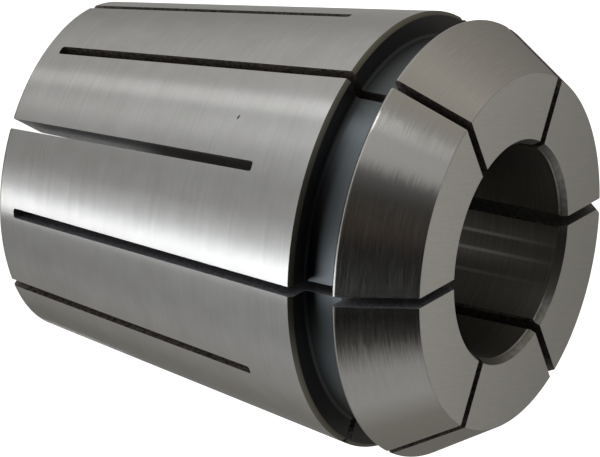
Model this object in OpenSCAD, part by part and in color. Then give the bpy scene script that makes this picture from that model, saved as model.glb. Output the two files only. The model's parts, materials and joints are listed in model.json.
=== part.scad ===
// Spring collet: a hardened sleeve with an 8 degree taper at the back, a nut groove and a
// 30 degree nose at the front. Saw cuts from both ends, by turns, leave one zigzag ring of
// steel that closes evenly on a tool shank.
// The axis is Z. The small end stands on z = 0 and the nose points up.

/* [Length] */
// Length from the small end to the front face
body_l = 46; // [44:0.5:60]

/* [Taper] */
// Diameter of the taper at its large end
taper_d = 41; // [38:0.5:48]
// Angle between the taper and the axis, in degrees
taper_angle = 8; // [5:0.5:9]
// Chamfer where the taper meets the groove
taper_edge = 0.4; // [0.2:0.1:0.8]
// Chamfer on the outer edge of the small end
rear_edge = 0.3; // [0.2:0.1:0.8]

/* [Groove and nose] */
// Diameter of the groove floor
groove_d = 36.1; // [34:0.1:37]
// Width of the groove that the clamping nut pulls on
groove_w = 4.1; // [3:0.1:6]
// Fillet in both corners of the groove
groove_fillet = 0.4; // [0.2:0.1:0.8]
// How far the nose cone, drawn out to a sharp edge, stands proud of the taper's large end
nose_step = 0.15; // [0.05:0.05:0.5]
// Length of the nose, from the groove to the front face
nose_l = 7; // [5:0.5:8]
// Angle between the nose cone and the axis, in degrees
nose_angle = 30; // [25:1:35]
// Radius on the back edge of the nose
flange_round = 0.35; // [0.2:0.05:0.5]
// Break between the nose cone and the front face
face_edge = 0.1; // [0.05:0.05:0.5]

/* [Bore] */
// Diameter of the bore, open, as it takes the tool shank
bore_d = 20; // [16:0.5:22]
// Width of the chamfer at the bore mouth
mouth_w = 0.5; // [0.2:0.1:1]
// Depth of the chamfer at the bore mouth
mouth_depth = 0.7; // [0.2:0.1:1.5]
// Chamfer at the back end of the bore
bore_rear_edge = 0.5; // [0.2:0.1:1]

/* [Slots] */
// Number of slots sawn from each end
slots_each_end = 6; // [4:1:8]
// Width of each slot
slot_w = 0.95; // [0.6:0.05:1.5]
// Radius in the corners of a slot's closed end
slot_corner = 0.25; // [0.1:0.05:0.25]
// Steel left behind the slots that are sawn from the nose
front_web = 1.9; // [1:0.05:3]
// Length of the slots that are sawn from the small end
rear_slot_l = 28.5; // [20:0.1:32]

/* [Hidden] */
$fn = 96;

steel = [0.62, 0.61, 0.59];
// How far a cutter runs past the surface that it leaves through
past = 1;

taper_r = taper_d / 2;
groove_r = groove_d / 2;
nose_r = taper_r + nose_step;
bore_r = bore_d / 2;
groove_top = body_l - nose_l;
groove_base = groove_top - groove_w;
face_r = nose_r - nose_l * tan(nose_angle);
// Inside angle between the nose's flat back and its cone
flange_corner = 90 - nose_angle;
// How far the flange's round reaches along both, from the sharp edge that they would meet in
flange_reach = flange_round / tan(flange_corner / 2);
slot_pitch = 360 / slots_each_end;
// Slots from both ends take turns, so this puts +X through the middle of a finger
first_slot = slot_pitch / 4;
saw_start = bore_r / 2;
saw_reach = max(taper_r, nose_r) + past;

// Point of the taper, at height z
function taper_at(z) = [taper_r - (groove_base - z) * tan(taper_angle), z];

// Point of the nose cone, at a height above the groove
function nose_at(rise) = [nose_r - rise * tan(nose_angle), groove_top + rise];

// Half section of the turned sleeve, with its chamfers, up one side and back down the bore
module turned_section() {
    polygon([
        [bore_r + bore_rear_edge, 0],
        [taper_at(0).x - rear_edge, 0],
        taper_at(rear_edge),
        taper_at(groove_base - taper_edge),
        [taper_r - taper_edge, groove_base],
        [groove_r, groove_base],
        [groove_r, groove_top],
        [nose_r - flange_reach, groove_top],
        nose_at(flange_reach * cos(nose_angle)),
        nose_at(nose_l - face_edge),
        [face_r - face_edge, body_l],
        [bore_r + mouth_w, body_l],
        [bore_r, body_l - mouth_depth],
        [bore_r, bore_rear_edge]
    ]);
}

// Steel that the grooving tool's round corner leaves in a corner of the groove
module groove_corner() {
    difference() {
        square(groove_fillet);
        translate([groove_fillet, groove_fillet]) circle(groove_fillet);
    }
}

// Round back edge of the nose, which lies against the nose's back and its cone
module flange_edge() {
    translate([nose_r - flange_reach, groove_top + flange_round]) circle(flange_round);
}

// The sleeve as it leaves the lathe and the grinder, without slots
module turned_sleeve() {
    rotate_extrude()
    union() {
        turned_section();
        flange_edge();
        translate([groove_r, groove_base]) groove_corner();
        translate([groove_r, groove_top]) mirror([0, 1]) groove_corner();
    }
}

// Outline of one saw cut: closed, with round corners, at y = 0 and open at y = run
module slot_outline(run) {
    translate([-slot_w / 2, slot_corner]) square([slot_w, run - slot_corner]);
    translate([slot_corner - slot_w / 2, 0]) square([slot_w - 2 * slot_corner, run]);
    for (side = [-1, 1])
        translate([side * (slot_w / 2 - slot_corner), slot_corner]) circle(slot_corner);
}

// One saw cut from inside the bore outwards along +X, with its closed end on z = 0
module saw_cut(run) {
    translate([saw_start, 0, 0])
    rotate([90, 0, 90])
    linear_extrude(saw_reach - saw_start)
    slot_outline(run);
}

// Slots sawn from the nose, which stop at the web behind them
module front_slots() {
    for (k = [0 : slots_each_end - 1])
        rotate(first_slot + k * slot_pitch)
        translate([0, 0, front_web])
        saw_cut(body_l - front_web + past);
}

// Slots sawn from the small end, half a pitch round from the others
module rear_slots() {
    for (k = [0 : slots_each_end - 1])
        rotate(first_slot + (k + 0.5) * slot_pitch)
        translate([0, 0, rear_slot_l])
        mirror([0, 0, 1])
        saw_cut(rear_slot_l + past);
}

module collet() {
    color(steel)
    difference() {
        turned_sleeve();
        front_slots();
        rear_slots();
    }
}

collet();
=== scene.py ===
# %% [markdown]
# A spring collet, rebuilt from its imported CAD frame
#
# The object is one steel sleeve, turned, ground and then sawn. Twelve slots run through its
# wall, six from the nose and six from the small end, by turns, so that it closes evenly on a
# tool shank. The lesson turns the sleeve and saws it in one Geometry Nodes tree, gives each
# surface the finish of the tool that made it, and then sets up the camera and a small studio.
# Lengths are named in millimetres and turned to Blender's metres where they are used.

# %% Load the frame
import json
import math

import bmesh
import bpy
from mathutils import Matrix, Vector


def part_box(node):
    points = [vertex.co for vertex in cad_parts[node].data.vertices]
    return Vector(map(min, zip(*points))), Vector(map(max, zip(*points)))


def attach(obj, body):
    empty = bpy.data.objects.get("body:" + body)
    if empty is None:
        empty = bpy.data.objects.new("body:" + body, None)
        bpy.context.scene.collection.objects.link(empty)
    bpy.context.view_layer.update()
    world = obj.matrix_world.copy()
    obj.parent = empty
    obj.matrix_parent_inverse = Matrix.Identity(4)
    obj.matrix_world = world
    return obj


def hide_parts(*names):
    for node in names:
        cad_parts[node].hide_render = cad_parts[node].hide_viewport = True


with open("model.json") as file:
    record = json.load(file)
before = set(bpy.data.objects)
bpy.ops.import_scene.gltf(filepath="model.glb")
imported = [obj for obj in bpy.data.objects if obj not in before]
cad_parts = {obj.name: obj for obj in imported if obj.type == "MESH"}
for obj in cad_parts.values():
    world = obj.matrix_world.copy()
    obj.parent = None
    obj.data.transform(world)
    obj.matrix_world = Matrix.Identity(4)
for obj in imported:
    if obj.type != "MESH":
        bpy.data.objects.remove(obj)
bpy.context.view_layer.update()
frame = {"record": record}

MM = 0.001

# %% [markdown]
# Sizes from the record
#
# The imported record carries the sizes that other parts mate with: the bore, the taper, the nut
# groove and the nose. They are read from it here, so the visible sleeve follows the CAD.

# %% Read the mating sizes
dims = {mount["name"]: mount["dims"] for mount in frame["record"]["mounts"]}
BODY_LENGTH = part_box("collet")[1].z / MM
BORE_RADIUS = dims["tool_bore"]["r_mm"]
TAPER_RADIUS = dims["holder_taper"]["r_mm"]
GROOVE_RADIUS = dims["nut_groove"]["r_mm"]
NOSE_RADIUS = dims["nose_cone"]["r_mm"]
GROOVE_TOP = BODY_LENGTH - dims["nose_cone"]["length_mm"]
GROOVE_BASE = GROOVE_TOP - dims["nut_groove"]["length_mm"]
print("length", round(BODY_LENGTH, 2), "bore", 2 * BORE_RADIUS, "taper", 2 * TAPER_RADIUS)
print("groove from", round(GROOVE_BASE, 2), "to", round(GROOVE_TOP, 2))

# %% [markdown]
# Small sizes
#
# The record doesn't carry edge breaks, corner rounds and the saw's width, so they are named
# here, as in the CAD. Only the break between the nose and the front face is finer than the
# CAD's 0.1 mm, because the photo shows no bright line along that edge.

# %% Name the small sizes
TAPER_ANGLE = math.radians(8)
NOSE_ANGLE = math.radians(30)
TAPER_EDGE = 0.4
REAR_EDGE = 0.3
GROOVE_FILLET = 0.4
FLANGE_ROUND = 0.35
FACE_EDGE = 0.02
MOUTH_WIDTH = 0.5
MOUTH_DEPTH = 0.7
BORE_REAR_EDGE = 0.5
SLOTS_EACH_END = 6
SLOT_WIDTH = 0.95
SLOT_CORNER = 0.25
FRONT_WEB = 1.9
REAR_SLOT_LENGTH = 28.5
FIRST_SLOT = math.radians(15)
print("slots:", 2 * SLOTS_EACH_END, "of", SLOT_WIDTH, "mm")

# %% [markdown]
# The outline that the lathe turns
#
# This is half a section through the sleeve, as radius and height: up the outside, across the
# front face and back down the bore. A straight stretch needs only its two ends. The round
# corners are arcs, so their points are worked out with a sine and a cosine. The outline could
# be drawn by hand as well, but then no corner would move when a size changes.

# %% Draw the outline
ARC_STEPS = 8


def taper_point(height):
    return (TAPER_RADIUS - (GROOVE_BASE - height) * math.tan(TAPER_ANGLE), height)


def nose_point(height):
    return (NOSE_RADIUS - (height - GROOVE_TOP) * math.tan(NOSE_ANGLE), height)


def arc(centre, radius, start, end):
    """Points on a round corner, from one angle to another, in degrees."""
    angles = [math.radians(start + (end - start) * step / ARC_STEPS)
              for step in range(ARC_STEPS + 1)]
    return [(centre[0] + radius * math.cos(angle), centre[1] + radius * math.sin(angle))
            for angle in angles]


fillet_middle = GROOVE_RADIUS + GROOVE_FILLET
flange_reach = FLANGE_ROUND / math.tan((math.pi / 2 - NOSE_ANGLE) / 2)
flange_middle = (NOSE_RADIUS - flange_reach, GROOVE_TOP + FLANGE_ROUND)
face_radius = nose_point(BODY_LENGTH)[0]
outline = [
    (BORE_RADIUS + BORE_REAR_EDGE, 0),
    (taper_point(0)[0] - REAR_EDGE, 0),
    taper_point(REAR_EDGE),
    taper_point(GROOVE_BASE - TAPER_EDGE),
    (TAPER_RADIUS - TAPER_EDGE, GROOVE_BASE),
    *arc((fillet_middle, GROOVE_BASE + GROOVE_FILLET), GROOVE_FILLET, 270, 180),
    *arc((fillet_middle, GROOVE_TOP - GROOVE_FILLET), GROOVE_FILLET, 180, 90),
    *arc(flange_middle, FLANGE_ROUND, -90, math.degrees(NOSE_ANGLE)),
    nose_point(BODY_LENGTH - FACE_EDGE),
    (face_radius - FACE_EDGE, BODY_LENGTH),
    (BORE_RADIUS + MOUTH_WIDTH, BODY_LENGTH),
    (BORE_RADIUS, BODY_LENGTH - MOUTH_DEPTH),
    (BORE_RADIUS, BORE_REAR_EDGE),
]
print("outline points:", len(outline), "face diameter", round(2 * face_radius, 2))

# %% [markdown]
# Colours and nodes
#
# Four small helpers serve the whole file. One turns an sRGB hex colour into the linear numbers
# that Blender's nodes expect. One adds any node: its inputs are plain values, sockets or other
# nodes, which are linked by their first output, and a colour ramp also gets its stops. The
# last two start a material and finish it. The first of them hands back the place on the collet
# that patterns read. It is the Object coordinate, because that stays put on the piece.

# %% Define the helpers for nodes
def linear(hex_colour):
    channels = []
    for start in (0, 2, 4):
        value = int(hex_colour[start:start + 2], 16) / 255
        channels.append(value / 12.92 if value <= 0.04045 else ((value + 0.055) / 1.055) ** 2.4)
    return (*channels, 1)


def add_node(tree, kind, inputs=None, stops=(), **settings):
    node = tree.nodes.new(kind)
    for name, value in settings.items():
        setattr(node, name, value)
    for key, value in (inputs or {}).items():
        if isinstance(value, bpy.types.Node):
            value = value.outputs[0]
        if isinstance(value, bpy.types.NodeSocket):
            tree.links.new(value, node.inputs[key])
        else:
            node.inputs[key].default_value = value
    while stops and len(node.color_ramp.elements) < len(stops):
        node.color_ramp.elements.new(1.0)
    for number, (position, colour) in enumerate(stops):
        node.color_ramp.elements[number].position = position
        node.color_ramp.elements[number].color = colour
    return node


def new_material(name):
    material = bpy.data.materials.new(name)
    material.use_nodes = True
    material.node_tree.nodes.clear()
    place = add_node(material.node_tree, "ShaderNodeTexCoord").outputs["Object"]
    return material, material.node_tree, place


def finish_material(material, shader_inputs):
    """Give a material its shader. It is bare metal, unless the inputs say otherwise."""
    tree = material.node_tree
    shader = add_node(tree, "ShaderNodeBsdfPrincipled", {"Metallic": 1.0, **shader_inputs})
    add_node(tree, "ShaderNodeOutputMaterial", {"Surface": shader})
    print(material.name, "has", len(tree.nodes), "nodes")


# %% [markdown]
# Marks that run round the collet
#
# A lathe and a grinder both leave fine marks that run round the axis. Light slides off them
# sideways, so a highlight is drawn out along the axis and stays narrow round it. An image of
# brushed steel would need the cones rolled out flat. Here two things show the marks without
# one. The shader's tangent runs round the axis, and a noise squeezed the same way gives single
# marks, which also rock the surface a little. The real marks lie about 0.01 mm apart, which is
# too fine to show, so they are drawn coarser, at 0.12 to 0.16 mm.

# %% Make the marks
MARK_PITCH = 0.16
MARK_LENGTH = 6


def marks_round(tree, place, pitch, length):
    """Grey streaks round the axis, from 0 to 1, and the way round the axis."""
    squeeze = pitch / length
    squeezed = add_node(tree, "ShaderNodeVectorMath", {0: place, 1: (squeeze, squeeze, 1)},
                        operation="MULTIPLY")
    streaks = add_node(tree, "ShaderNodeTexNoise", {
        "Vector": squeezed, "Scale": 1 / (pitch * MM), "Detail": 3.0, "Roughness": 0.6})
    across = add_node(tree, "ShaderNodeVectorMath", {0: (0, 0, 1), 1: place},
                      operation="CROSS_PRODUCT")
    around = add_node(tree, "ShaderNodeVectorMath", {0: across}, operation="NORMALIZE")
    return streaks, around


def brushed_round(tree, around, streaks, amount):
    """Shader inputs that draw a highlight out along the axis and rock the surface round it."""
    strength = add_node(tree, "ShaderNodeMapRange", {
        "Value": streaks, "To Min": -amount, "To Max": amount})
    push = add_node(tree, "ShaderNodeVectorMath", {0: around, "Scale": strength},
                    operation="SCALE")
    facing = add_node(tree, "ShaderNodeNewGeometry").outputs["Normal"]
    tilted = add_node(tree, "ShaderNodeVectorMath", {0: facing, 1: push}, operation="ADD")
    rocked = add_node(tree, "ShaderNodeVectorMath", {0: tilted}, operation="NORMALIZE")
    return {"Anisotropic Rotation": 0.25, "Tangent": around, "Normal": rocked}


print("marks:", MARK_PITCH, "mm apart,", MARK_LENGTH, "mm long")

# %% [markdown]
# Shades of one steel
#
# Steel isn't one flat grey, and the eye takes a surface without any spots for plastic. Each
# finish below has a pattern from 0 to 1, and this helper picks a colour between two by it. A
# soft noise makes the spots, at the size in millimetres that they have on the real surface.
# Most of a noise lies between 0.3 and 0.7, so the two colours are reached there.

# %% Pick a shade
NOISE_LOW = 0.3
NOISE_HIGH = 0.7


def shade(tree, pattern, dark, light):
    """A colour between two, picked by a pattern."""
    share = add_node(tree, "ShaderNodeMapRange", {
        "Value": pattern, "From Min": NOISE_LOW, "From Max": NOISE_HIGH})
    return add_node(tree, "ShaderNodeMix", {
        "Factor": share, "A": linear(dark), "B": linear(light)}, data_type="RGBA").outputs["Result"]


print("white is", linear("ffffff")[0], "and middle grey", round(linear("808080")[0], 3))

# %% [markdown]
# Ground taper
#
# The real taper is hardened spring steel, ground between centres with a fine wheel. The eye
# sees a grey, silky metal whose bright bands run along the collet, with faint cloudy spots a
# few millimetres across. Its grey is also painted a little lighter towards the nose, as painted
# light that stands in for the light falling on it there. The anisotropic shader gives the silk,
# and the streaks and clouds vary its grey.

# %% Taper finish
TAPER_ROCK = 0.006
SPOT_GRAIN = 2.5
PAINTED_LIGHT_SHARE = 0.65
PAINTED_LIGHT_REAR = 0.447
PAINTED_LIGHT_NOSE = 0.736
ground, tree, place = new_material("ground_taper_steel")
streaks, around = marks_round(tree, place, MARK_PITCH, MARK_LENGTH)
spots = add_node(tree, "ShaderNodeTexNoise", {
    "Vector": place, "Scale": 1 / (SPOT_GRAIN * MM), "Detail": 2.0})
spotty = add_node(tree, "ShaderNodeMix", {"Factor": 0.5, "A": streaks, "B": spots})
height = add_node(tree, "ShaderNodeSeparateXYZ", {"Vector": place}).outputs["Z"]
# Painted light: the grey is painted lighter from the small end up to the nose.
painted_light_by_height = add_node(tree, "ShaderNodeMapRange", {
    "Value": height, "From Max": BODY_LENGTH * MM, "To Min": PAINTED_LIGHT_REAR, "To Max": PAINTED_LIGHT_NOSE})
pattern = add_node(tree, "ShaderNodeMix", {"Factor": PAINTED_LIGHT_SHARE, "A": spotty, "B": painted_light_by_height})
finish_material(ground, {
    "Base Color": shade(tree, pattern, "b2b0ac", "d8d8d6"), "Roughness": 0.26,
    "Anisotropic": 1.0, **brushed_round(tree, around, streaks, TAPER_ROCK)})

# %% [markdown]
# Ground nose
#
# The nose cone is ground as well, in one pass with the wheel turned to 30 degrees. Its marks
# are a little deeper, so a dark reflection has a combed edge there, like short fingers. The
# comb could be painted on, but it would stay in place when the camera moves. So the streaks
# rock the surface more than on the taper, and they make some marks rougher than others.

# %% Nose finish
NOSE_ROCK = 0.04
NOSE_MARK_PITCH = 0.12
NOSE_MARK_LENGTH = 2.5
BRIGHT_MARK = 0.18
DULL_MARK = 0.26
coned, tree, place = new_material("ground_nose_steel")
streaks, around = marks_round(tree, place, NOSE_MARK_PITCH, NOSE_MARK_LENGTH)
duller = add_node(tree, "ShaderNodeMapRange", {
    "Value": streaks, "From Min": NOISE_LOW, "From Max": NOISE_HIGH,
    "To Min": BRIGHT_MARK, "To Max": DULL_MARK})
finish_material(coned, {
    "Base Color": shade(tree, streaks, "c0beb9", "cac8c4"), "Roughness": duller,
    "Anisotropic": 1.0, **brushed_round(tree, around, streaks, NOSE_ROCK)})

# %% [markdown]
# Groove and rear edge
#
# The nut groove is only turned, and it keeps some of the dark skin that hardening leaves. The
# eye sees a nearly black wall, a blue-grey floor and olive chamfers at the taper's two ends.
# Each could be a material of its own, but the tone fades from one to the next. So one colour
# ramp by height tells them apart. Besides the skin, the ramp paints shade: it is darkest at the
# groove's wall and lightens towards the nose, for the shade that falls into the groove. It
# starts at the foot of the chamfer and ends at the nose, and its heights are counted from the
# groove's wall.

# %% Groove finish
GROOVE_WIDTH = GROOVE_TOP - GROOVE_BASE
# Dark skin and painted shade: the tones are darkest at the groove's wall and lighten towards the
# nose.
GROOVE_SKIN_AND_SHADE = ((-TAPER_EDGE, "88867a"), (-0.03, "6b695f"), (0, "555557"), (0.25, "404042"),
                (0.5, "5c6164"), (1.3, "6d7376"), (GROOVE_WIDTH, "7d8488"))
turned, tree, place = new_material("blackened_groove_steel")
streaks, around = marks_round(tree, place, MARK_PITCH, MARK_LENGTH)
height = add_node(tree, "ShaderNodeSeparateXYZ", {"Vector": place}).outputs["Z"]
up_groove = add_node(tree, "ShaderNodeMapRange", {
    "Value": height, "From Min": (GROOVE_BASE - TAPER_EDGE) * MM, "From Max": GROOVE_TOP * MM})
tones = [((rise + TAPER_EDGE) / (GROOVE_WIDTH + TAPER_EDGE), linear(tone))
         for rise, tone in GROOVE_SKIN_AND_SHADE]
skin_and_shade = add_node(tree, "ShaderNodeValToRGB", {"Fac": up_groove}, tones)
finish_material(turned, {
    "Base Color": skin_and_shade, "Roughness": 0.4, "Anisotropic": 0.7,
    **brushed_round(tree, around, streaks, NOSE_ROCK)})

# %% [markdown]
# Front face
#
# The front face is lapped flat. The eye sees an even, warm grey with hairlines that all run
# one way, 0.2 mm apart here, because the real ones are too fine to show. Straight hairlines
# need no tangent: a noise that is turned and then squeezed along one axis draws them. The
# same finish covers the small end.

# %% Face finish
LAP_DIRECTION = math.radians(59)
HAIRLINE_PITCH = 0.2
HAIRLINE_SQUEEZE = 0.06
FACE_GRAIN = 0.3
GRAIN_SHARE = 0.4
faced, tree, place = new_material("ground_face_steel")
lap = add_node(tree, "ShaderNodeVectorRotate",
               {"Vector": place, "Axis": (0, 0, 1), "Angle": -LAP_DIRECTION})
squeezed = add_node(tree, "ShaderNodeVectorMath", {0: lap, 1: (HAIRLINE_SQUEEZE, 1, 1)},
                    operation="MULTIPLY")
hairlines = add_node(tree, "ShaderNodeTexNoise", {
    "Vector": squeezed, "Scale": 1 / (HAIRLINE_PITCH * MM), "Detail": 2.0})
grain = add_node(tree, "ShaderNodeTexNoise", {
    "Vector": place, "Scale": 1 / (FACE_GRAIN * MM), "Detail": 2.0})
pattern = add_node(tree, "ShaderNodeMix", {"Factor": GRAIN_SHARE, "A": hairlines, "B": grain})
finish_material(faced, {
    "Base Color": shade(tree, pattern, "bcbab3", "c6c4bd"), "Roughness": 0.34})

# %% [markdown]
# Marks at one side of the axis
#
# Some marks lie in one direction from the axis only: painted glints along the bore, painted
# shade on some lands of the mouth, and painted light in two slots. The direction of a place, as
# a vector of length one, is compared with the mark's direction. Their dot product is the cosine
# of the angle between them, so it is nearly one where the mark is. This works all the way up the
# bore, with no seam, and needs no map of the surface.

# %% Find the marks
def nearness(tree, place, degrees):
    """The cosine of the angle between a place's direction from the axis and another one."""
    level = add_node(tree, "ShaderNodeVectorMath", {0: place, 1: (1, 1, 0)},
                     operation="MULTIPLY")
    outwards = add_node(tree, "ShaderNodeVectorMath", {0: level}, operation="NORMALIZE")
    turn = math.radians(degrees)
    return add_node(tree, "ShaderNodeVectorMath", {
        0: outwards, 1: (math.cos(turn), math.sin(turn), 0)},
        operation="DOT_PRODUCT").outputs["Value"]


def marked(tree, place, marks, whole_within, gone_beyond):
    """How strongly a place is marked. Each mark is a direction and a strength.

    A mark is whole within one angle from its direction and gone beyond another, in degrees.
    """
    total = 0.0
    for degrees, strength in marks:
        mark = add_node(tree, "ShaderNodeMapRange", {
            "Value": nearness(tree, place, degrees),
            "From Min": math.cos(math.radians(gone_beyond)),
            "From Max": math.cos(math.radians(whole_within)), "To Max": strength})
        total = add_node(tree, "ShaderNodeMath", {0: mark, 1: total}, operation="ADD")
    return total


print("10 degrees away, the cosine is still", round(math.cos(math.radians(10)), 3))

# %% [markdown]
# Bore
#
# The bore is ground too, so its marks run round it. Opposite the camera three pale lines run
# along it, about 0.3 mm wide. They are painted highlights: white is painted into the colour
# there, for glints of light along the bore. They fade out before the mouth. They are so bright
# because they scatter light more than they mirror it, so the shader is less of a metal there.

# %% Bore finish
# Painted highlights: the directions, strengths and width of three glint lines painted white.
GLINT_LINES = ((240.8, 1.0), (231.2, 0.9), (219.4, 0.35))
GLINT_HALF_WIDTH = 1.2
GLINT_WHOLE_BELOW = 35
GLINT_METAL = 0.2
bored, tree, place = new_material("ground_bore_steel")
streaks, around = marks_round(tree, place, MARK_PITCH, MARK_LENGTH)
painted_glints = marked(tree, place, GLINT_LINES, 0, GLINT_HALF_WIDTH)
height = add_node(tree, "ShaderNodeSeparateXYZ", {"Vector": place}).outputs["Z"]
fading = add_node(tree, "ShaderNodeMapRange", {
    "Value": height, "From Min": BODY_LENGTH * MM, "From Max": GLINT_WHOLE_BELOW * MM})
# Painted highlight: the share of white painted in, fading towards the mouth.
worn = add_node(tree, "ShaderNodeMath", {0: painted_glints, 1: fading}, operation="MULTIPLY")
tone = add_node(tree, "ShaderNodeMix", {
    "Factor": worn, "A": shade(tree, streaks, "a3a09a", "bbb8b2"), "B": linear("ffffff")},
    data_type="RGBA")
still_metal = add_node(tree, "ShaderNodeMapRange", {
    "Value": worn, "To Min": 1.0, "To Max": GLINT_METAL})
finish_material(bored, {
    "Base Color": tone.outputs["Result"], "Metallic": still_metal, "Roughness": 0.34,
    "Anisotropic": 0.7, **brushed_round(tree, around, streaks, TAPER_ROCK)})

# %% [markdown]
# Bore mouth
#
# The chamfer at the mouth is turned and then rubbed by every shank that goes in. The eye sees
# a mottled grey with a darker ring near the bore. A ramp by height draws the ring and the light
# rings beside it, as painted highlights and painted shade for the light on small edges in the
# chamfer. The land straight opposite the camera and the lands at its two sides are painted
# darker, as painted shade for how the light falls there, and the direction from the axis
# darkens them. At the sides the cosine goes through zero, so its size without its sign is
# small there.

# %% Mouth finish
MOTTLE_GRAIN = 0.5
# Painted highlights and shade: light and dark rings up the chamfer.
PAINTED_RING_GREYS = ((0, 0.75), (0.08, 0.75), (0.25, 0.3), (0.5, 0.5), (1, 0.6))
PAINTED_RING_SHARE = 0.6
SHADED_LAND = 233
LAND_WHOLE = 14
LAND_GONE = 24
SIDE_STARTS = 0.6
SIDE_WHOLE = 0.15
mouth, tree, place = new_material("turned_mouth_steel")
height = add_node(tree, "ShaderNodeSeparateXYZ", {"Vector": place}).outputs["Z"]
up_mouth = add_node(tree, "ShaderNodeMapRange", {
    "Value": height, "From Min": (BODY_LENGTH - MOUTH_DEPTH) * MM,
    "From Max": BODY_LENGTH * MM})
rings = add_node(tree, "ShaderNodeValToRGB", {"Fac": up_mouth},
                 [(position, (grey, grey, grey, 1)) for position, grey in PAINTED_RING_GREYS])
mottle = add_node(tree, "ShaderNodeTexNoise", {
    "Vector": place, "Scale": 1 / (MOTTLE_GRAIN * MM), "Detail": 2.0})
mottled = add_node(tree, "ShaderNodeMix", {"Factor": PAINTED_RING_SHARE, "A": mottle, "B": rings})
# Painted shade: the lands opposite the camera and at its two sides are darkened.
opposite = marked(tree, place, ((SHADED_LAND, 1.0),), LAND_WHOLE, LAND_GONE)
across = add_node(tree, "ShaderNodeMath", {0: nearness(tree, place, SHADED_LAND)},
                  operation="ABSOLUTE")
aside = add_node(tree, "ShaderNodeMapRange", {
    "Value": across, "From Min": SIDE_STARTS, "From Max": SIDE_WHOLE})
painted_land_shade = add_node(tree, "ShaderNodeMath", {0: opposite, 1: aside}, operation="ADD")
tone = add_node(tree, "ShaderNodeMix", {
    "Factor": painted_land_shade, "A": shade(tree, mottled, "6f6d68", "bdbbb5"), "B": linear("75726d")},
    data_type="RGBA")
finish_material(mouth, {"Base Color": tone.outputs["Result"], "Roughness": 0.5})

# %% [markdown]
# Sawn slots
#
# The slots are sawn before hardening and never ground, so scale stays in them. The eye sees a
# rough, brownish black, speckled by the saw. Scale isn't metal, so most of the shine is off.
# Two slots, at 75 and 45 degrees, are painted greyer than the rest, as painted light for the
# light that falls into them.

# %% Slot finish
SAW_GRAIN = 0.3
# Painted light: two slots are painted greyer, where light falls into them.
LIT_SLOTS = ((75, 1.0), (45, 0.3))
LIT_SLOT_WHOLE = 10
LIT_SLOT_GONE = 12
sawn, tree, place = new_material("sawn_slot_steel")
speckle = add_node(tree, "ShaderNodeTexNoise", {
    "Vector": place, "Scale": 1 / (SAW_GRAIN * MM), "Detail": 2.0})
tone = add_node(tree, "ShaderNodeMix", {
    "Factor": marked(tree, place, LIT_SLOTS, LIT_SLOT_WHOLE, LIT_SLOT_GONE),
    "A": shade(tree, speckle, "2a2624", "6e6761"),
    "B": shade(tree, speckle, "5c5c60", "929298")}, data_type="RGBA")
finish_material(sawn, {"Base Color": tone.outputs["Result"], "Metallic": 0.4, "Roughness": 0.5})

# %% [markdown]
# Where the nick lies
#
# One small dark nick, 0.5 mm long, lies on the taper in the photo. A ball pressed flat and
# sunk a little into the surface leaves it. It is cut with the slots, because a dark spot that
# is only painted on would vanish in a mesh without its materials. Its place was found in the
# photo: a height, a turn round the axis, and how far it leans from the way round the taper.

# %% Place the nick
NICK_LENGTH = 0.5
NICK_HEIGHT = 25.19
NICK_TURN = math.radians(32.06)
NICK_LEAN = math.radians(22)
NICK_PROUD = 0.02
nick_radius = taper_point(NICK_HEIGHT)[0] + NICK_PROUD
nick_place = Vector((nick_radius * math.cos(NICK_TURN), nick_radius * math.sin(NICK_TURN),
                     NICK_HEIGHT))
print("nick at", [round(value, 2) for value in nick_place])

# %% [markdown]
# Where the worn corner lies
#
# At the far side of the front face, one finger has lost the sharp corner between its slot, its
# rim and the face, about half a millimetre of it. A block laid across the corner takes it off.
# Its underside lies square to the corner's diagonal, and it is shifted away from the slot, so
# the flat that it leaves runs out along the rim. Slots are counted from the first, which is 0.

# %% Place the worn corner
WORN_SLOT = 4
WORN_DEPTH = 0.31
WORN_BLOCK = 3
WORN_ASIDE = 1.1
corner = Vector((face_radius, -SLOT_WIDTH / 2, BODY_LENGTH))
out_of_corner = Vector((1, 1, 1)).normalized()
off_slot = Vector((1, -2, 1)).normalized()
block_axes = Matrix((off_slot, out_of_corner.cross(off_slot), out_of_corner)).transposed()
to_slot = Matrix.Rotation(FIRST_SLOT + WORN_SLOT * math.tau / SLOTS_EACH_END, 3, "Z")
worn_place = to_slot @ (corner + out_of_corner * (WORN_BLOCK / 2 - WORN_DEPTH)
                        + off_slot * WORN_ASIDE)
worn_turn = Vector((to_slot @ block_axes).to_euler())
print("worn corner at", [round(value, 2) for value in worn_place])

# %% [markdown]
# Sizes for the tree
#
# One Geometry Nodes tree will do what the machine shop does. Here is every size that it needs,
# by the name of its input, so the same tree would make another collet from other numbers. A
# cutter runs past the surface that it leaves through, so no two surfaces lie on each other.
# The bars that break edges reach deeper than half a slot's width, by the edge break and by how
# far they stand inside the bore.

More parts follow.
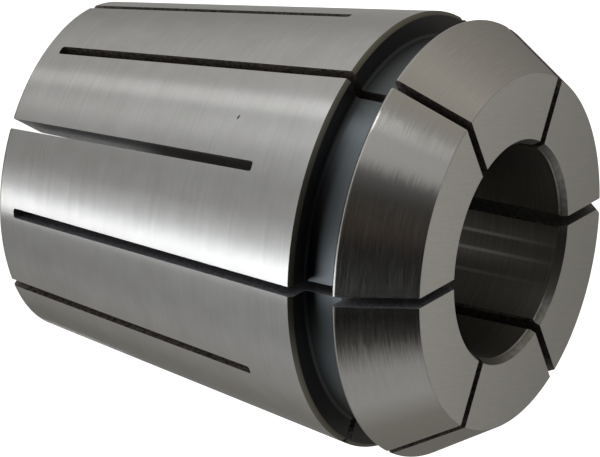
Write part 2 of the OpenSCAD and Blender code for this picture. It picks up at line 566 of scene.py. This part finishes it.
# %% Work the sizes out
ROUND_STEPS = 288
PAST = 1
EDGE_BREAK = 0.15
BAR_INSET = 0.3
HAIR = 0.01
run = BODY_LENGTH - FRONT_WEB + PAST
in_mm = {
    "Path radius": BORE_RADIUS, "Slot width": SLOT_WIDTH, "Slot corner": SLOT_CORNER,
    "Front slot middle": FRONT_WEB + run / 2, "Rear slot middle": REAR_SLOT_LENGTH - run / 2,
    "Slot run": run, "Saw start": BORE_RADIUS / 2, "Saw reach": NOSE_RADIUS + PAST,
    "Past the nose": BODY_LENGTH + PAST, "Past the small end": -PAST,
    "Bar half": SLOT_WIDTH / 2 + EDGE_BREAK + BAR_INSET, "Bar radius": BORE_RADIUS - BAR_INSET,
    "Front bar foot": FRONT_WEB, "Rear bar top": REAR_SLOT_LENGTH, "Foot bar level": -BAR_INSET,
    "Nick reach": NICK_LENGTH / 2, "Nick place": nick_place,
    "Worn block": Vector((1, 1, 1)) * WORN_BLOCK, "Worn place": worn_place,
    "Foot to": HAIR, "Rear edge to": REAR_EDGE - HAIR,
    "Groove from": GROOVE_BASE - TAPER_EDGE + HAIR, "Groove to": GROOVE_TOP + HAIR,
    "Face from": BODY_LENGTH - FACE_EDGE + HAIR / 2, "Face to": BODY_LENGTH + HAIR,
    "Bore to": BORE_RADIUS + 5 * HAIR, "Mouth to": BORE_RADIUS + MOUTH_WIDTH - 10 * HAIR,
}
values = {name: value * MM for name, value in in_mm.items()}
values |= {"Steps round": ROUND_STEPS, "Slots": SLOTS_EACH_END, "First slot": FIRST_SLOT,
           "Nick turn": Vector((0, NICK_LEAN, NICK_TURN + math.pi / 2)), "Worn turn": worn_turn}
print("values for the tree:", len(values))

# %% [markdown]
# The tree that makes the sleeve
#
# The tree takes the outline as geometry, and each size as an input of its own kind: a count, a
# length or angle, or a place. Modifiers stacked on a mesh could do the same steps, but their
# sizes would lie in many places. In a tree they all meet at its one input node.

# %% Start the tree
SOCKET_KINDS = {int: "NodeSocketInt", float: "NodeSocketFloat", Vector: "NodeSocketVector"}
tree = bpy.data.node_groups.new("lathe_and_saws", "GeometryNodeTree")
tree.interface.new_socket("Geometry", in_out="INPUT", socket_type="NodeSocketGeometry")
tree.interface.new_socket("Geometry", in_out="OUTPUT", socket_type="NodeSocketGeometry")
for name, value in values.items():
    tree.interface.new_socket(name, in_out="INPUT", socket_type=SOCKET_KINDS[type(value)])
size = add_node(tree, "NodeGroupInput").outputs
print("inputs of the tree:", len(tree.interface.items_tree))

# %% [markdown]
# The lathe
#
# The outline comes in as loose edges. They become a curve, which travels once round a circle,
# as a blank turns past a tool. The circle has the bore's radius, so the outline hangs on it by
# the bore. The Spin tool could turn it as well, but it isn't a node, so no size could drive
# it. Everything starts out with the ground finish, and the other finishes come later.

# %% Turn the blank
path = add_node(tree, "GeometryNodeCurvePrimitiveCircle",
                {"Resolution": size["Steps round"], "Radius": size["Path radius"]})
section = add_node(tree, "GeometryNodeMeshToCurve", {"Mesh": size["Geometry"]})
lathe = add_node(tree, "GeometryNodeCurveToMesh", {"Curve": path, "Profile Curve": section})
blank = add_node(tree, "GeometryNodeSetMaterial", {"Geometry": lathe, "Material": ground})
print("nodes so far:", len(tree.nodes))

# %% [markdown]
# A place for every cutter
#
# Six slots come in from the nose, and six more, from the small end, lie half a pitch further
# round. Their cutters stand on points and are turned round the axis by each point's number.
# That keeps one rule for all twelve, where twelve placed by hand could drift apart. Whatever
# they cut gets the finish of a slot.

# %% Stand cutters round the axis
def set_round(cutter, first):
    """Stand a cutter at every slot of one end. The first one is a share of the pitch round."""
    places = add_node(tree, "GeometryNodePoints", {"Count": size["Slots"]})
    number = add_node(tree, "GeometryNodeInputIndex")
    pitch = add_node(tree, "ShaderNodeMath", {0: math.tau, 1: size["Slots"]}, operation="DIVIDE")
    steps = add_node(tree, "ShaderNodeMath", {0: number, 1: first}, operation="ADD")
    angle = add_node(tree, "ShaderNodeMath", {0: steps, 1: pitch, 2: size["First slot"]},
                     operation="MULTIPLY_ADD")
    turn = add_node(tree, "ShaderNodeCombineXYZ", {"Z": angle})
    ring = add_node(tree, "GeometryNodeInstanceOnPoints", {
        "Points": places, "Instance": cutter, "Rotation": turn})
    whole = add_node(tree, "GeometryNodeRealizeInstances", {"Geometry": ring})
    return add_node(tree, "GeometryNodeSetMaterial", {"Geometry": whole, "Material": sawn})


print("a slot every", 360 / SLOTS_EACH_END, "degrees from each end")

# %% [markdown]
# The saws
#
# A slot is what a saw leaves that is fed in from one end and stops short of the other. Here
# the whole feed is one cutter: a rectangle with rounded corners, as wide as the slot and as
# long as the feed, travels straight out from inside the bore to past the nose.

# %% Saw the slots
def straight(start, end):
    """A straight path from one radius and height to another, over the X axis."""
    ends = [add_node(tree, "ShaderNodeCombineXYZ", {"X": radius, "Z": height})
            for radius, height in (start, end)]
    return add_node(tree, "GeometryNodeCurvePrimitiveLine", {"Start": ends[0], "End": ends[1]})


def saw(middle):
    """The cutter of one slot. Its middle is the height that the feed is centred on."""
    blade = add_node(tree, "GeometryNodeCurvePrimitiveQuadrilateral",
                     {"Width": size["Slot width"], "Height": size["Slot run"]})
    rounded = add_node(tree, "GeometryNodeFilletCurve", {
        "Curve": blade, "Count": 4, "Radius": size["Slot corner"]}, mode="POLY")
    upright = add_node(tree, "GeometryNodeSetCurveNormal", {
        "Curve": straight((size["Saw start"], middle), (size["Saw reach"], middle))},
        mode="Z_UP")
    return add_node(tree, "GeometryNodeCurveToMesh", {
        "Curve": upright, "Profile Curve": rounded, "Fill Caps": True})


cutters = [set_round(saw(size["Front slot middle"]), 0.0),
           set_round(saw(size["Rear slot middle"]), 0.5)]
print("saw cuts:", SLOTS_EACH_END * len(cutters))

# %% [markdown]
# Broken edges
#
# Where a slot opens into the bore and onto the small end, a stone has broken its sharp edges
# by about 0.15 mm. The photo shows it where light comes through a slot: the gap is wider than
# the saw cut. A Bevel modifier would break every edge of a slot, also the outer ones, which are
# sharp. A square bar that stands on edge breaks just the two edges that it lies along.

# %% Break the edges of the slots
def bar(start, end):
    square = add_node(tree, "GeometryNodeCurvePrimitiveCircle",
                      {"Resolution": 4, "Radius": size["Bar half"]})
    return add_node(tree, "GeometryNodeCurveToMesh", {
        "Curve": straight(start, end), "Profile Curve": square, "Fill Caps": True})


in_bore = size["Bar radius"]
under = size["Foot bar level"]
cutters += [
    set_round(bar((in_bore, size["Front bar foot"]), (in_bore, size["Past the nose"])), 0.0),
    set_round(bar((in_bore, size["Past the small end"]), (in_bore, size["Rear bar top"])), 0.5),
    set_round(bar((size["Saw start"], under), (size["Saw reach"], under)), 0.5)]
print("cutter rings:", len(cutters))

# %% [markdown]
# The nick and the worn corner
#
# Both stand alone, so they go in without a ring of points. The ball is pressed to less than
# half its depth and to about a third of its width. The nick is as dark as a slot, and the worn
# corner is as bright as the nose.

# %% Add the nick and the worn corner
PRESSED = (1.0, 0.45, 0.36)
ball = add_node(tree, "GeometryNodeMeshIcoSphere",
                {"Radius": size["Nick reach"], "Subdivisions": 3})
pressed = add_node(tree, "GeometryNodeTransform", {
    "Geometry": ball, "Translation": size["Nick place"], "Rotation": size["Nick turn"],
    "Scale": PRESSED})
block = add_node(tree, "GeometryNodeMeshCube", {"Size": size["Worn block"]})
laid = add_node(tree, "GeometryNodeTransform", {
    "Geometry": block, "Translation": size["Worn place"], "Rotation": size["Worn turn"]})
cutters += [add_node(tree, "GeometryNodeSetMaterial", {"Geometry": pressed, "Material": sawn}),
            add_node(tree, "GeometryNodeSetMaterial", {"Geometry": laid, "Material": coned})]
print("cutters in all:", len(cutters))

# %% [markdown]
# One cut
#
# One exact cut takes all the cutters from the blank, and their own finish stays on the
# surfaces that they leave. The exact solver is slower than the fast one, but it keeps the mesh
# closed where the bars and the saws run into each other.

# %% Cut the sleeve
cut = add_node(tree, "GeometryNodeMeshBoolean", {"Mesh 1": blank}, operation="DIFFERENCE",
               solver="EXACT")
for cutter in cutters:
    tree.links.new(cutter.outputs[0], cut.inputs["Mesh 2"])
whole = add_node(tree, "GeometryNodeRealizeInstances", {"Geometry": cut})
print("cutters taken from the blank:", len(cutters))

# %% [markdown]
# A finish for each surface
#
# What the saws left has its finish. The rest is told apart by height and by distance from the
# axis, as on a drawing: the nose, the groove, the rear edge, the mouth, the bore and the two
# flat ends. Picking faces by hand would have to be done again after every change of a size.

# %% Mark the surfaces
point = add_node(tree, "GeometryNodeInputPosition")
height = add_node(tree, "ShaderNodeSeparateXYZ", {"Vector": point}).outputs["Z"]
level = add_node(tree, "ShaderNodeVectorMath", {0: point, 1: (1, 1, 0)}, operation="MULTIPLY")
from_axis = add_node(tree, "ShaderNodeVectorMath", {0: level},
                     operation="LENGTH").outputs["Value"]
is_sawn = add_node(tree, "GeometryNodeMaterialSelection", {"Material": sawn})
left_by_lathe = add_node(tree, "FunctionNodeBooleanMath", {0: is_sawn}, operation="NOT")


def between(value, low, high):
    """The faces in a range that no saw has left."""
    above = add_node(tree, "FunctionNodeCompare", {"A": value, "B": low},
                     operation="GREATER_THAN")
    below = add_node(tree, "FunctionNodeCompare", {"A": value, "B": high},
                     operation="LESS_THAN")
    inside = add_node(tree, "FunctionNodeBooleanMath", {0: above, 1: below}, operation="AND")
    return add_node(tree, "FunctionNodeBooleanMath", {0: inside, 1: left_by_lathe},
                    operation="AND")


surfaces = (
    (height, size["Groove to"], size["Face to"], coned),
    (height, size["Groove from"], size["Groove to"], turned),
    (height, size["Past the small end"], size["Rear edge to"], turned),
    (from_axis, 0.0, size["Mouth to"], mouth),
    (from_axis, 0.0, size["Bore to"], bored),
    (height, size["Face from"], size["Face to"], faced),
    (height, size["Past the small end"], size["Foot to"], faced),
)
for value, low, high, material in surfaces:
    whole = add_node(tree, "GeometryNodeSetMaterial", {
        "Geometry": whole, "Selection": between(value, low, high), "Material": material})
add_node(tree, "NodeGroupOutput", {"Geometry": whole})
print("nodes in the tree:", len(tree.nodes))

# %% [markdown]
# Run the tree
#
# The outline is drawn as a flat loop of edges. Its y runs down, because a path in the level
# plane hangs a profile that way. The tree gets its values by each input's identifier, runs
# once, and its result becomes a plain mesh, with no modifier left on it.

# %% Make the sleeve
def wire(name, points):
    mesh = bpy.data.meshes.new(name)
    edges = [(k, (k + 1) % len(points)) for k in range(len(points))]
    mesh.from_pydata([(x * MM, -y * MM, 0) for x, y in points], edges, [])
    drawn = bpy.data.objects.new(name, mesh)
    bpy.context.scene.collection.objects.link(drawn)
    return drawn


sleeve = wire("collet_sleeve", [(radius - BORE_RADIUS, height) for radius, height in outline])
modifier = sleeve.modifiers.new("lathe_and_saws", "NODES")
modifier.node_group = tree
for item in tree.interface.items_tree:
    if item.name in values:
        modifier[item.identifier] = values[item.name]
sleeve.update_tag()
made = bpy.data.meshes.new_from_object(
    sleeve.evaluated_get(bpy.context.evaluated_depsgraph_get()))
sleeve.modifiers.clear()
sleeve.data = made
print("faces:", len(made.polygons), "finishes:", [material.name for material in made.materials])

# %% [markdown]
# Measure the sleeve
#
# A piece must be closed, and it should hold as much steel as the CAD's 30,000 cubic
# millimetres, a little less for its broken edges. Edges that turn by more than 20 degrees stay
# sharp, and the rest is shaded smooth.

# %% Measure and smooth
SHARP_ANGLE = math.radians(20)
measured = bmesh.new()
measured.from_mesh(made)
open_edges = sum(1 for edge in measured.edges if not edge.is_manifold)
print("volume in mm3:", round(measured.calc_volume(signed=True) / MM ** 3, 1),
      "open edges:", open_edges)
measured.free()
made.shade_smooth()
made.set_sharp_from_angle(angle=SHARP_ANGLE)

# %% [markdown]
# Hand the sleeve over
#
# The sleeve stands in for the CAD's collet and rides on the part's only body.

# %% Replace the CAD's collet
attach(sleeve, "root")
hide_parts("collet")
print("replaced: collet")

# %% [markdown]
# The camera
#
# The camera was solved from the photo: from the ellipses of the rims and the ends of the
# slots. The photo was taken from above the nose, with the camera turned on its side, so the
# collet's axis lies nearly level in the picture. An upright camera is worked out first, and
# the roll then turns its two axes, which is easier to follow than three angles in a row.

# %% Set the camera up
VIEW_AZIMUTH = math.radians(52.925)
VIEW_ELEVATION = math.radians(29.339)
VIEW_ROLL = math.radians(-101.945)
VIEW_DISTANCE = 588.89
AIM = Vector((-1.503, 1.136, 23.787))
LENS = 379.83
SENSOR = 36
NEAREST = 10
FURTHEST = 10000


def direction(azimuth, elevation):
    """The way to look for an azimuth and an elevation, both in radians."""
    return Vector((math.cos(elevation) * math.cos(azimuth),
                   math.cos(elevation) * math.sin(azimuth), math.sin(elevation)))


towards_camera = direction(VIEW_AZIMUTH, VIEW_ELEVATION)
level_right = (-towards_camera).cross(Vector((0, 0, 1))).normalized()
level_up = level_right.cross(-towards_camera)
camera_up = math.cos(VIEW_ROLL) * level_up + math.sin(VIEW_ROLL) * level_right
camera_right = math.cos(VIEW_ROLL) * level_right - math.sin(VIEW_ROLL) * level_up
camera_data = bpy.data.cameras.new("camera")
camera_data.sensor_width = SENSOR
camera_data.lens = LENS
camera_data.clip_start = NEAREST * MM
camera_data.clip_end = FURTHEST * MM
camera = bpy.data.objects.new("camera", camera_data)
turned_axes = Matrix((camera_right, camera_up, towards_camera)).transposed().to_4x4()
camera.matrix_world = Matrix.Translation((AIM + towards_camera * VIEW_DISTANCE) * MM) @ turned_axes
bpy.context.scene.collection.objects.link(camera)
bpy.context.scene.camera = camera
print("camera", round(VIEW_DISTANCE), "mm away, lens", LENS, "mm")

# %% [markdown]
# The table
#
# The collet stands on a plain white table, which is as pale as the photo's background. The
# table lies a hair below the collet, so the two don't flicker where they meet. The steel
# doesn't mirror it, because the studio's walls, in the next step, give the steel its
# reflections, and they are easier to match to the photo one by one.

# %% Set the table
TABLE_HALF = 3000
TABLE_DROP = 0.02
table_mesh = bpy.data.meshes.new("table")
table_mesh.from_pydata([(x * TABLE_HALF * MM, y * TABLE_HALF * MM, 0)
                        for x, y in ((-1, -1), (1, -1), (1, 1), (-1, 1))], [], [(0, 1, 2, 3)])
table = bpy.data.objects.new("table", table_mesh)
table.location.z = -TABLE_DROP * MM
table.visible_glossy = False
table.visible_shadow = False
bpy.context.scene.collection.objects.link(table)
white_table = new_material("white_table")[0]
finish_material(white_table, {
    "Metallic": 0.0, "Base Color": (0.9, 0.9, 0.9, 1), "Roughness": 0.9,
    "Emission Color": (1, 1, 1, 1), "Emission Strength": 1.1})
table_mesh.materials.append(white_table)
print("table:", 2 * TABLE_HALF, "mm wide")

# %% [markdown]
# The studio's walls
#
# Product photos of bright steel are taken in a tent of white cloth and black card, and what
# the steel shows is that tent. A photographed studio could be wrapped round the collet, but a
# sewn one can be matched seam by seam. This one has two rows of cloth. The low row lights the
# taper, and the high row lights the nose. Each entry is a seam: its azimuth from the camera,
# its brightness and the tint of the cloth. The low row has a tall window at 36 to 48 degrees,
# which makes the white band along the taper. The high row has black card in front, from -25 to
# 66 degrees, which is the dark patch on the nose.

# %% Cut the cloth
PLAIN = linear("ffffff")
CREAM = linear("fffaf1")
COOL = linear("fafcff")
ROSE = linear("ffdcc9")
LOW_ROW = (
    (-180, 0.46, PLAIN), (-166, 0.52, PLAIN), (-137, 0.33, PLAIN), (-105, 0.55, PLAIN),
    (-71, 0.64, PLAIN), (-55, 0.68, PLAIN), (-38, 0.95, PLAIN), (-22, 0.8, PLAIN),
    (-9, 0.66, PLAIN), (9, 0.74, PLAIN), (18, 1.08, PLAIN), (27, 1.62, COOL), (36, 3.0, COOL),
    (47.5, 3.8, COOL), (49, 0.65, PLAIN), (79, 0.46, PLAIN), (98, 0.37, PLAIN),
    (121, 0.29, CREAM), (150, 0.19, CREAM), (168, 0.3, PLAIN), (180, 0.46, PLAIN))
HIGH_ROW = (
    (-180, 0.15, CREAM), (-116, 0.35, CREAM), (-90, 0.47, CREAM), (-66, 0.39, CREAM),
    (-52, 0.45, PLAIN), (-40, 0.55, PLAIN), (-32, 0.5, PLAIN), (-25, 0.12, PLAIN),
    (-14, 0.045, CREAM), (4, 0.035, ROSE), (16, 0, PLAIN), (50, 0, PLAIN), (58, 0.02, PLAIN),
    (66, 0.04, CREAM), (83, 0.38, PLAIN), (103, 0.42, PLAIN), (122, 0.26, CREAM),
    (180, 0.15, CREAM))
print("seams:", len(LOW_ROW), "low and", len(HIGH_ROW), "high")

# %% [markdown]
# Sewing the rows
#
# A colour ramp holds a row of cloth, laid round the collet by the azimuth that a ray looks in.
# A ramp holds up to one, so it holds each brightness as a share of the brightest, and the
# strength of the background multiplies it out again.

# %% Sew the rows
BRIGHTEST = 4.0
world = bpy.data.worlds.new("studio")
bpy.context.scene.world = world
world.use_nodes = True
tree = world.node_tree
tree.nodes.clear()
looking = add_node(tree, "ShaderNodeTexCoord").outputs["Generated"]
from_camera = add_node(tree, "ShaderNodeVectorRotate",
                       {"Vector": looking, "Axis": (0, 0, 1), "Angle": -VIEW_AZIMUTH})
parts = add_node(tree, "ShaderNodeSeparateXYZ", {"Vector": from_camera}).outputs
azimuth = add_node(tree, "ShaderNodeMath", {0: parts["Y"], 1: parts["X"]}, operation="ARCTAN2")
share_round = add_node(tree, "ShaderNodeMapRange", {
    "Value": azimuth, "From Min": -math.pi, "From Max": math.pi})
rows = []
for seams in (LOW_ROW, HIGH_ROW):
    stops = [(degrees / 360 + 0.5, [brightness / BRIGHTEST * value for value in tint[:3]] + [1])
             for degrees, brightness, tint in seams]
    rows.append(add_node(tree, "ShaderNodeValToRGB", {"Fac": share_round}, stops))
print("rows of cloth:", len(rows))

# %% [markdown]
# Floor, sides and roof
#
# One part of the tent changes over to the next between two elevations, with a soft seam, as
# cloth hangs. Above and below the rows the tent is dark, but for a window right overhead, which
# lights the front face when it is seen from above. The camera itself sees plain white behind
# the collet, as in the photo, and only the steel sees the tent.

# %% Pitch the tent
DARK_FLOOR = (0.005, 0.005, 0.005, 1)
DARK_ROOF = (0.006, 0.0055, 0.0045, 1)
ROOF_WINDOW = (0.11, 0.11, 0.108, 1)
FLOOR_SEAM = (-60, -54)
ROWS_SEAM = (-34, -20)
ROOF_SEAM = (38, 50)
WINDOW_SEAM = (66, 78)


def change_over(elevations, below, above):
    """One tent part above another, with a soft seam between two elevations in degrees."""
    start, end = elevations
    seam = add_node(tree, "ShaderNodeMapRange", {
        "Value": parts["Z"], "From Min": math.sin(math.radians(start)),
        "From Max": math.sin(math.radians(end))}, interpolation_type="SMOOTHSTEP")
    return add_node(tree, "ShaderNodeMix", {
        "Factor": seam, "A": below, "B": above}, data_type="RGBA").outputs["Result"]


sides = change_over(ROWS_SEAM, *rows)
roof = change_over(WINDOW_SEAM, DARK_ROOF, ROOF_WINDOW)
tent = change_over(FLOOR_SEAM, DARK_FLOOR, change_over(ROOF_SEAM, sides, roof))
lit = add_node(tree, "ShaderNodeBackground", {"Color": tent, "Strength": BRIGHTEST})
backdrop = add_node(tree, "ShaderNodeBackground", {"Color": (1, 1, 1, 1), "Strength": 1.0})
ray = add_node(tree, "ShaderNodeLightPath").outputs["Is Camera Ray"]
seen = add_node(tree, "ShaderNodeMixShader", {"Fac": ray, 1: lit, 2: backdrop})
add_node(tree, "ShaderNodeOutputWorld", {"Surface": seen})
print("nodes in the studio:", len(tree.nodes))

# %% [markdown]
# Two panels of light
#
# A small panel hangs close behind and above the nose. It is so near that the front face gets
# more of it on one side than on the other, which makes the face's soft gradient, and a wall of
# the tent is too far off for that. A second panel on the left puts the white gleam on the round
# edge behind the nose.

# %% Hang the panels
def softbox(name, azimuth, elevation, distance, width, height, brightness):
    """A panel that faces the collet. Its azimuth, in degrees, is counted from the camera."""
    outwards = direction(VIEW_AZIMUTH + math.radians(azimuth), math.radians(elevation))
    data = bpy.data.lights.new(name, "AREA")
    data.shape = "RECTANGLE"
    data.size = width * MM
    data.size_y = height * MM
    data.energy = brightness * math.pi * data.size * data.size_y
    light = bpy.data.objects.new(name, data)
    facing = outwards.to_track_quat("Z", "Y").to_matrix().to_4x4()
    middle = Vector((0, 0, BODY_LENGTH / 2))
    light.matrix_world = Matrix.Translation((outwards * distance + middle) * MM) @ facing
    light.visible_camera = False
    bpy.context.scene.collection.objects.link(light)
    print(name, round(data.energy, 4), "W")


softbox("face_card", azimuth=180, elevation=56, distance=130, width=120, height=70,
        brightness=0.56)
softbox("left_window", azimuth=-49.5, elevation=-9, distance=500, width=80, height=150,
        brightness=3.9)
bpy.context.scene.view_settings.view_transform = "Standard"

# %% [markdown]
# Light through the small end
#
# The white table throws light up into the open small end. It falls on the near wall of the
# slot that the camera looks through, and stops where the far rim of the bore casts its shadow.
# Light that finds its way there by itself would take far more samples than this render has. So
# a narrow lamp under the table stands in for it. The table casts no shadow and lets it by.

# %% Light the slot from below
WALL_LIT = (13.5, 6)
GLOW_AZIMUTH = math.radians(158)
GLOW_ELEVATION = math.radians(-26)
GLOW_AWAY = 60
GLOW_CONE = math.radians(17)
GLOW_SIZE = 12
GLOW_ENERGY = 0.009
rear_slot_turn = FIRST_SLOT + math.pi / SLOTS_EACH_END
wall_spot = Vector((WALL_LIT[0] * math.cos(rear_slot_turn),
                    WALL_LIT[0] * math.sin(rear_slot_turn), WALL_LIT[1]))
glow_way = direction(VIEW_AZIMUTH + GLOW_AZIMUTH, GLOW_ELEVATION)
glow = bpy.data.lights.new("table_glow", "SPOT")
glow.energy = GLOW_ENERGY
glow.spot_size = GLOW_CONE
glow.spot_blend = 0.15
glow.shadow_soft_size = GLOW_SIZE * MM
glow_lamp = bpy.data.objects.new("table_glow", glow)
glow_lamp.matrix_world = (Matrix.Translation((wall_spot + glow_way * GLOW_AWAY) * MM)
                          @ glow_way.to_track_quat("Z", "Y").to_matrix().to_4x4())
bpy.context.scene.collection.objects.link(glow_lamp)
print("table_glow", GLOW_ENERGY, "W")
